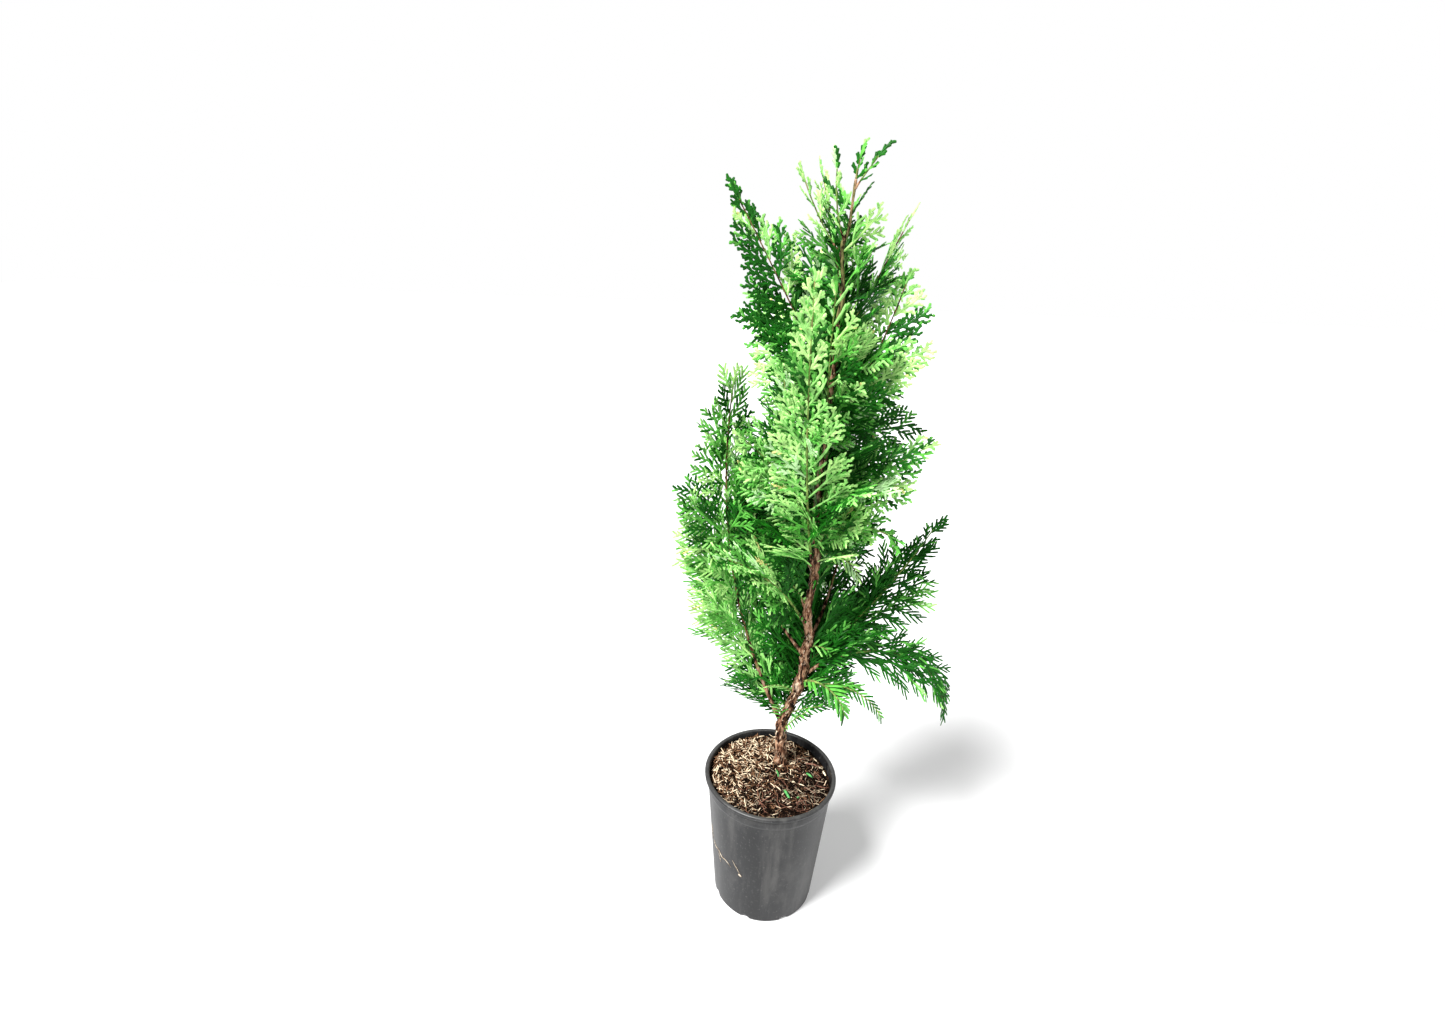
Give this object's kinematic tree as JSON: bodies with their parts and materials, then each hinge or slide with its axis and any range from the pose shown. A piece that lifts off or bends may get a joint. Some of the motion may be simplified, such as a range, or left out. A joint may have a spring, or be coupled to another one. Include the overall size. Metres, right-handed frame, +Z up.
{
  "type": "potted plant",
  "caption": "Young evergreen conifer with flat scale-leaved sprays on an upright trunk, in a black round tapered nursery pot with a turned-out rim.",
  "frame": {"origin": "centre of the pot's flat underside, on the surface that it stands on", "axes": "+Z up along the pot's axis. +Y is level and points away from the picture's viewer, and +X is to the viewer's right"},
  "size_m": [0.2575, 0.1821, 0.6258],
  "materials": {
    "pot_plastic": "satin, lightly scuffed",
    "potting_mix": "loose, rough",
    "bark": "flaky, matte",
    "leaf_mid": "satin",
    "leaf_bright": "satin",
    "leaf_deep": "satin",
    "leaf_grey": "satin, bluish bloom"
  },
  "bodies": {
    "root": {"pot": "pot_plastic", "potting_mix": "potting_mix", "trunk": "bark", "bough_left_stem": "bark", "bough_right_low_fan": "bark", "bough_front_low_spray": "bark", "bough_left_branch": "bark", "bough_right_branch": "bark", "bough_right_rising_fan": "bark", "bough_left_front_fan": "bark", "bough_centre_shoot": "bark", "bough_front_right_fan": "bark", "bough_right_mid_fan": "bark", "bough_left_mid_fan": "bark", "bough_left_high_fan": "bark", "bough_right_high_fan": "bark", "bough_front_left_mid": "bark", "bough_front_high_fan": "bark", "bough_top_right_twig": "bark", "bough_top_left_twig": "bark", "bough_top_centre_twig": "bark", "bough_far_low_right": "bark", "bough_far_low_left": "bark", "bough_far_low_middle": "bark", "bough_far_mid_left": "bark", "bough_far_mid": "bark", "bough_far_mid_right": "bark", "bough_far_upper_left": "bark", "bough_far_upper": "bark", "bough_far_high_right": "bark", "bough_far_high_left": "bark", "foliage_left_stem": "leaf_bright", "foliage_right_low_fan": "leaf_deep", "foliage_front_low_spray": "leaf_bright", "foliage_left_branch": "leaf_grey", "foliage_right_branch": "leaf_deep", "foliage_right_rising_fan": "leaf_deep", "foliage_left_front_fan": "leaf_mid", "foliage_centre_shoot": "leaf_bright", "foliage_front_right_fan": "leaf_bright", "foliage_right_mid_fan": "leaf_bright", "foliage_left_mid_fan": "leaf_mid", "foliage_left_high_fan": "leaf_deep", "foliage_right_high_fan": "leaf_mid", "foliage_front_left_mid": "leaf_mid", "foliage_front_high_fan": "leaf_mid", "foliage_top_right_twig": "leaf_deep", "foliage_top_left_twig": "leaf_bright", "foliage_top_centre_twig": "leaf_bright", "foliage_far_low_right": "leaf_mid", "foliage_far_low_left": "leaf_deep", "foliage_far_low_middle": "leaf_mid", "foliage_far_mid_left": "leaf_mid", "foliage_far_mid": "leaf_grey", "foliage_far_mid_right": "leaf_deep", "foliage_far_upper_left": "leaf_mid", "foliage_far_upper": "leaf_mid", "foliage_far_high_right": "leaf_bright", "foliage_far_high_left": "leaf_mid", "foliage_leader": "leaf_deep"}
  },
  "joints": []
}
